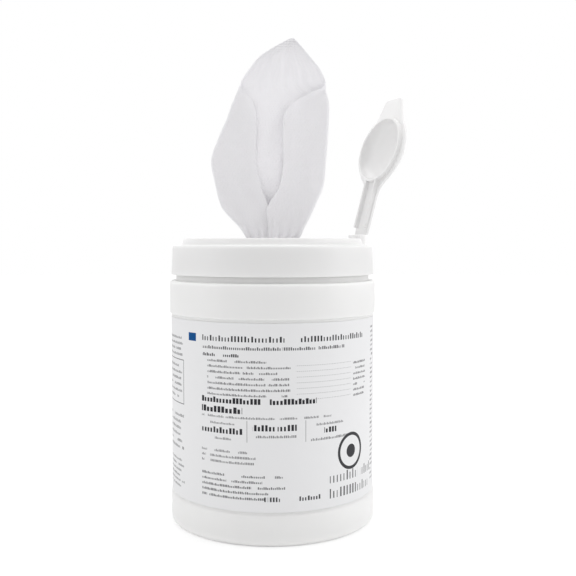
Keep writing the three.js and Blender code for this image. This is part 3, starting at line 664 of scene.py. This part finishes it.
# The wipe's sections: height, the left and right folds, half the space between the layers, how far each side
# is folded round (1 is right back on itself), how far each folded side reaches back, how far back the whole
# stands and how deep it is gathered. Millimetres.
WIPE_SECTIONS = [
    (96.0, -5.8, 5.8, 5.2, 0.8, 0.4, 0.4, 0.6, 0.0),
    (130.0, -6.6, 6.4, 5.8, 0.8, 0.4, 0.4, 0.4, 0.0),
    (150.0, -5.2, 5.2, 4.8, 0.8, 0.4, 0.4, 0.0, 0.0),
    (156.0, -4.7, 4.7, 4.4, 0.8, 0.4, 0.4, 0.0, 0.0),
    (161.3, -4.7, 4.7, 4.4, 0.8, 0.4, 0.4, 0.0, 0.0),
    (166.4, -15.0, 15.0, 3.0, 0.97, 12.6, 14.2, 0.3, 0.4),
    (173.3, -19.6, 18.8, 2.2, 1.0, 17.8, 19.2, 0.2, 0.4),
    (186.0, -30.4, 25.2, 1.6, 1.0, 26.8, 26.4, 0.0, 0.4),
    (200.0, -34.4, 31.0, 1.3, 1.0, 26.0, 24.8, -0.3, 0.35),
    (212.0, -36.6, 32.0, 1.2, 1.0, 26.0, 24.4, -0.4, 0.35),
    (226.0, -32.4, 33.0, 1.2, 1.0, 21.6, 25.8, -0.2, 0.3),
    (238.6, -26.8, 33.5, 1.2, 1.0, 16.2, 25.8, 0.4, 0.3),
    (247.0, -23.8, 33.8, 1.1, 1.0, 11.4, 20.4, 1.0, 0.3),
    (252.5, -21.8, 33.2, 1.0, 0.97, 5.4, 11.2, 1.6, 0.3),
    (256.0, -20.2, 32.5, 0.9, 0.8, 1.4, 2.8, 2.2, 0.3),
    (259.0, -18.7, 31.6, 0.8, 0.5, 0.8, 0.9, 2.6, 0.3),
    (262.0, -17.0, 30.4, 1.0, 0.3, 0.7, 0.7, 3.0, 0.4),
    (269.0, -12.2, 26.9, 0.8, 0.2, 0.6, 0.6, 3.6, 0.35),
    (275.0, -7.2, 21.9, 0.6, 0.15, 0.5, 0.5, 4.0, 0.25),
    (280.5, 1.0, 17.6, 0.5, 0.12, 0.4, 0.4, 4.4, 0.15),
    (286.2, 11.2, 12.4, 0.4, 0.1, 0.2, 0.2, 4.8, 0.0),
]
FLAP_COLUMNS, FOLD_COLUMNS, BACK_COLUMNS = 20, 10, 44
FLAP_LEAN = 0.8  # how far the right flap's free edge stands forward, and the left one's back
WIPE_ROW = 1.9
PLEATS, PLEAT_DEPTH = 15, 1.4
PLEAT_TOP, PLEAT_FADE = 178, 15  # the pleats end at this height and fade over this much below it
SLACK_PLEAT = 1.1  # how much deeper the pleats get in the roll's core
SLACK_TOP, SLACK_FADE = 154, 14
FULL_WIDTH = 45  # narrower sections are gathered less
SOFT_WAVES = [(0.8, 8.5, 0.0), (0.5, 4.2, 0.6)]  # depth, number across the sheet, and phase
CREASE_START, CREASE_FADE = 163, 18  # the creases start at this height and are full this much above it
# Depth of each kind of crease, its fineness across, up and from column to column, and its seed
CREASES = [(1.3, 0.06, 0.035, 0.004, 1.7), (0.35, 0.2, 0.11, 0.01, 8.3)]
LEAST_REACH, LEAST_TURN = 0.2, 0.05


def slope(k, i):
    """Slope of value k at section i, kept from overshooting its neighbours."""
    def rise(j):
        low, high = WIPE_SECTIONS[j], WIPE_SECTIONS[j + 1]
        return (high[k] - low[k]) / (high[0] - low[0])

    if i == 0:
        return rise(0)
    if i == len(WIPE_SECTIONS) - 1:
        return rise(i - 1)
    before, after = rise(i - 1), rise(i)
    return 2 * before * after / (before + after) if before * after > 0 else 0.0


def wipe_sections():
    """The listed sections with smooth ones between them."""
    found = []
    for i in range(len(WIPE_SECTIONS) - 1):
        low, high = WIPE_SECTIONS[i], WIPE_SECTIONS[i + 1]
        span = high[0] - low[0]
        steps = math.ceil(span / WIPE_ROW)
        for j in range(steps):
            s = j / steps
            found.append([
                (1 + 2 * s) * (1 - s) ** 2 * low[k] + s * (1 - s) ** 2 * span * slope(k, i)
                + s * s * (3 - 2 * s) * high[k] + s * s * (s - 1) * span * slope(k, i + 1)
                for k in range(len(low))
            ])
    found.append(list(WIPE_SECTIONS[-1]))
    return found


def folded_side(centre, sign, half, sweep, reach):
    """One side of a section from the flap's free edge to the start of the back, as (x, y)."""
    lean = min(FLAP_LEAN, 0.1 * reach)
    points = []
    end_x = centre + sign * half * math.sin(sweep)
    end_y = half * math.cos(sweep)
    for i in range(FLAP_COLUMNS):
        share = 1 - i / FLAP_COLUMNS
        along = reach * share
        y = end_y - along * math.sin(sweep) - sign * lean * share
        points.append((end_x + sign * along * math.cos(sweep), y))
    for i in range(FOLD_COLUMNS):
        a = sweep * (1 - i / FOLD_COLUMNS)
        points.append((centre + sign * half * math.sin(a), half * math.cos(a)))
    return points


def evenly(line, count):
    """The same line with its points evenly spaced along it."""
    lengths = [0.0]
    for before, after in zip(line, line[1:]):
        lengths.append(lengths[-1] + math.dist(before, after))
    found = []
    j = 0
    for i in range(count):
        at = lengths[-1] * i / (count - 1)
        while j < len(line) - 2 and lengths[j + 1] < at:
            j += 1
        share = (at - lengths[j]) / max(lengths[j + 1] - lengths[j], 1e-9)
        (x0, y0), (x1, y1) = line[j], line[j + 1]
        found.append((x0 + (x1 - x0) * share, y0 + (y1 - y0) * share))
    return found


def clamped(value):
    """The value kept from 0 to 1."""
    return min(1.0, max(0.0, value))


def gathers(share, z, depth):
    """How far the sheet stands off its smooth line: fine pleats in the orifice's grip, soft ones above."""
    grip = clamped((PLEAT_TOP - z) / PLEAT_FADE) ** 1.5
    slack = SLACK_PLEAT * clamped((SLACK_TOP - z) / SLACK_FADE)
    fine = (PLEAT_DEPTH + slack) * grip * math.sin(2 * math.pi * PLEATS * share)
    soft = sum(deep * math.sin(2 * math.pi * count * share + phase) for deep, count, phase in SOFT_WAVES)
    return fine + depth * soft * math.sin(math.pi * share) ** 0.4


def wipe_line(section):
    """The sheet's line in one section, from the left flap round the back to the right flap."""
    z, left, right, half, turn, left_reach, right_reach, back, depth = section
    turn = min(1.0, max(LEAST_TURN, turn))
    inset = half * min(1.0, 2 * turn)
    fold_left, fold_right = left + inset, right - inset
    sweep = math.pi * turn
    line = folded_side(fold_left, -1, half, sweep, max(LEAST_REACH, left_reach))
    width = fold_right - fold_left
    line += [(fold_left + width * i / BACK_COLUMNS, half) for i in range(BACK_COLUMNS + 1)]
    line += reversed(folded_side(fold_right, 1, half, sweep, max(LEAST_REACH, right_reach)))
    last = len(line) - 1
    depth *= min(1.0, width / FULL_WIDTH)
    line = evenly(line, len(line))
    found = []
    for i, (x, y) in enumerate(line):
        before, after = line[max(0, i - 1)], line[min(last, i + 1)]
        along = Vector((after[0] - before[0], after[1] - before[1])).normalized()
        off = gathers(i / last, z, depth)
        found.append((x - along.y * off, y + along.x * off + back))
    return found


def crumple(x, z, column):
    """Small creases, deeper away from the orifice's grip."""
    free = clamped((z - CREASE_START) / CREASE_FADE)
    return free * sum(
        deep * noise.noise(Vector((x * across, z * up, seed + column * drift)))
        for deep, across, up, drift, seed in CREASES
    )


def draw_wipe():
    """The wipe: a flat grid laid along the sections, thickened and smoothed."""
    values = settings("wipes_wipe")
    sections = wipe_sections()
    columns = 2 * (FLAP_COLUMNS + FOLD_COLUMNS) + BACK_COLUMNS + 1
    start()
    bpy.ops.mesh.primitive_grid_add(
        x_subdivisions=columns - 1, y_subdivisions=len(sections) - 1, size=0.15, calc_uvs=True
    )
    obj = added("drawn_wipe_sheet")
    vertices = obj.data.vertices
    for j, section in enumerate(sections):
        for i, (x, y) in enumerate(wipe_line(section)):
            z = section[0]
            vertices[j * columns + i].co = Vector((x, y + crumple(x, z, i), z)) * MM
    only(obj)
    bpy.ops.object.mode_set(mode="EDIT")
    bpy.ops.mesh.select_all(action="SELECT")
    bpy.ops.mesh.normals_make_consistent(inside=False)
    bpy.ops.object.mode_set(mode="OBJECT")
    modify(obj, "SOLIDIFY", thickness=values.thickness, offset=0.0, use_even_offset=False)
    modify(obj, "SUBSURF", levels=1, render_levels=1)
    only(obj)
    bpy.ops.object.shade_smooth()
    return obj


# Operators

class WIPES_OT_canister(bpy.types.Operator):
    """Gives the blown canister its fine edges and white plastic"""

    bl_idname = "wipes.canister"
    bl_label = "Dress Canister"

    def execute(self, context):
        values = settings("wipes_canister")
        obj = finer_copy("canister", "canister_body", values.edge)
        material = plastic("Blown plastic", values, seam=True, **BLOWN)
        finish_piece(obj, "canister", "canister", material)
        return {"FINISHED"}


class WIPES_OT_lid(bpy.types.Operator):
    """Gives the lid and its flip tab their rounded edges and white plastic"""

    bl_idname = "wipes.lid"
    bl_label = "Dress Lid and Tab"

    def execute(self, context):
        values = settings("wipes_lid")
        obj = finer_copy("lid", "lid_moulding", values.edge)
        finish_piece(obj, "lid", "lid", plastic("Moulded plastic", values, **MOULDED))
        obj = finer_copy("flip_tab", "flip_tab_moulding", values.edge)
        material = plastic("Thin moulded plastic", values, **THIN_MOULDED)
        finish_piece(obj, "flip_tab", "flip_tab", material)
        return {"FINISHED"}


class WIPES_OT_label(bpy.types.Operator):
    """Wraps the printed film round the canister, with a lapped seam at the back"""

    bl_idname = "wipes.label"
    bl_label = "Wrap Label"

    def execute(self, context):
        values = settings("wipes_label")
        radius = LABEL_HIGH[1]
        height = LABEL_HIGH[2] - LABEL_LOW[2]
        start()
        bpy.ops.mesh.primitive_cylinder_add(
            vertices=192, radius=radius - FILM_RELIEF, depth=height, end_fill_type="NOTHING",
            location=(0, 0, (LABEL_HIGH[2] + LABEL_LOW[2]) / 2),
        )
        obj = added("label_film")
        bpy.ops.object.transform_apply(location=True, rotation=True, scale=True)
        modify(obj, "SOLIDIFY", thickness=values.thickness, offset=-1.0)
        reach = values.lap / radius
        select_faces(
            obj,
            lambda centre, normal: centre.y > 0 and abs(math.atan2(centre.x, centre.y)) < reach / 2
            and normal.y > 0.5,
        )
        bpy.ops.mesh.extrude_region_shrink_fatten(TRANSFORM_OT_shrink_fatten={"value": FILM_RELIEF})
        bpy.ops.object.mode_set(mode="OBJECT")
        smooth(obj, 30)
        finish_piece(obj, "canister", "label", label_material())
        return {"FINISHED"}


class WIPES_OT_roll(bpy.types.Operator):
    """Winds the roll: a soft-edged ring whose ends show its turns"""

    bl_idname = "wipes.roll"
    bl_label = "Wind Roll"

    def execute(self, context):
        obj = finer_copy("wipe_roll", "wipe_roll_turns", ROLL_EDGE)
        finish_piece(obj, "canister", "wipe_roll", roll_material())
        return {"FINISHED"}


class WIPES_OT_wipe(bpy.types.Operator):
    """Draws one wipe up through the orifice, folded and gathered"""

    bl_idname = "wipes.wipe"
    bl_label = "Draw Wipe"

    def execute(self, context):
        values = settings("wipes_wipe")
        obj = draw_wipe()
        finish_piece(obj, "lid", "drawn_wipe", wipe_material())
        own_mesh(obj)
        return {"FINISHED"}


def lamp(name, size, power, place, target):
    """A soft rectangular lamp turned to its target."""
    data = bpy.data.lights.new(name, "AREA")
    data.shape = "RECTANGLE"
    data.size, data.size_y = size
    data.energy = power
    obj = bpy.data.objects.new(name, data)
    bpy.context.scene.collection.objects.link(obj)
    obj.location = place
    obj.rotation_euler = (Vector(target) - Vector(place)).to_track_quat("-Z", "Y").to_euler()
    return obj


class WIPES_OT_stage(bpy.types.Operator):
    """Sets the pale floor, the soft lights, the white background and the camera"""

    bl_idname = "wipes.stage"
    bl_label = "Set Stage"

    def execute(self, context):
        values = settings("wipes_stage")
        scene = context.scene
        start()
        bpy.ops.mesh.primitive_circle_add(vertices=96, radius=4.0, fill_type="NGON", location=(0, 0, 0))
        floor = added("floor")
        floor.data.materials.append(floor_material())

        world = bpy.data.worlds.new("Studio")
        scene.world = world
        world.use_nodes = True
        t = Tree(world.node_tree)
        path = t.add("ShaderNodeLightPath")
        mirrored = t.math("MAXIMUM", path.outputs["Is Glossy Ray"], path.outputs["Is Transmission Ray"])
        seen = t.math("MAXIMUM", path.outputs["Is Camera Ray"], mirrored)
        strength = t.math("MAXIMUM", seen, values.surround)
        sky = world.node_tree.nodes["Background"]
        t.feed(sky, {"Color": WHITE, "Strength": strength})

        middle = (0, 0, 0.13)
        left = values.side_light * LEFT_SHARE
        lamp("lamp_left", (0.5, 0.8), left, (-0.75, -0.15, 0.35), middle)
        lamp("lamp_right", (0.5, 0.8), values.side_light, (0.75, -0.1, 0.35), middle)
        lamp("lamp_back", (0.8, 0.6), values.back_light, (0, 0.8, 0.45), (0, 0, 0.2))
        lamp("lamp_top", (0.7, 0.7), values.top_light, (0, 0.15, 1.0), middle)

        camera = bpy.data.cameras.new("camera")
        camera.lens = CAMERA_LENS
        camera.clip_start = 0.01
        eye = bpy.data.objects.new("camera", camera)
        scene.collection.objects.link(eye)
        eye.location = CAMERA_PLACE
        eye.rotation_euler = (math.radians(90 - CAMERA_DOWN), 0, math.radians(CAMERA_TURN))
        scene.camera = eye
        scene.view_settings.view_transform = "Standard"
        return {"FINISHED"}


class WIPES_PT_panel(bpy.types.Panel):
    """Lists the steps in order with their settings"""

    bl_idname = "WIPES_PT_panel"
    bl_label = "Wipes"
    bl_space_type = "VIEW_3D"
    bl_region_type = "UI"
    bl_category = "Wipes"

    def draw(self, context):
        for name, operators in STEPS:
            box = self.layout.box()
            values = getattr(context.scene, name)
            for key in values.bl_rna.properties.keys():
                if key not in ("rna_type", "name"):
                    box.prop(values, key)
            for operator in operators:
                box.operator(operator)


STEPS = [
    ("wipes_canister", ["wipes.canister"]),
    ("wipes_label", ["wipes.label"]),
    ("wipes_lid", ["wipes.lid"]),
    ("wipes_wipe", ["wipes.roll", "wipes.wipe"]),
    ("wipes_stage", ["wipes.stage"]),
]
GROUPS = {
    "wipes_canister": CanisterSettings,
    "wipes_label": LabelSettings,
    "wipes_lid": LidSettings,
    "wipes_wipe": WipeSettings,
    "wipes_stage": StageSettings,
}
OPERATORS = (
    WIPES_OT_canister,
    WIPES_OT_label,
    WIPES_OT_lid,
    WIPES_OT_roll,
    WIPES_OT_wipe,
    WIPES_OT_stage,
    WIPES_PT_panel,
)


def register():
    for name, kind in GROUPS.items():
        bpy.utils.register_class(kind)
        setattr(bpy.types.Scene, name, bpy.props.PointerProperty(type=kind))
    for kind in OPERATORS:
        bpy.utils.register_class(kind)


def unregister():
    for kind in reversed(OPERATORS):
        bpy.utils.unregister_class(kind)
    for name, kind in GROUPS.items():
        delattr(bpy.types.Scene, name)
        bpy.utils.unregister_class(kind)


def main():
    register()
    moulded_group()
    nonwoven_group()
    label_place_group()
    print_rows_group()
    bpy.ops.wipes.canister()
    bpy.ops.wipes.label()
    bpy.ops.wipes.lid()
    bpy.ops.wipes.roll()
    bpy.ops.wipes.wipe()
    bpy.ops.wipes.stage()


if __name__ == "__main__":
    main()
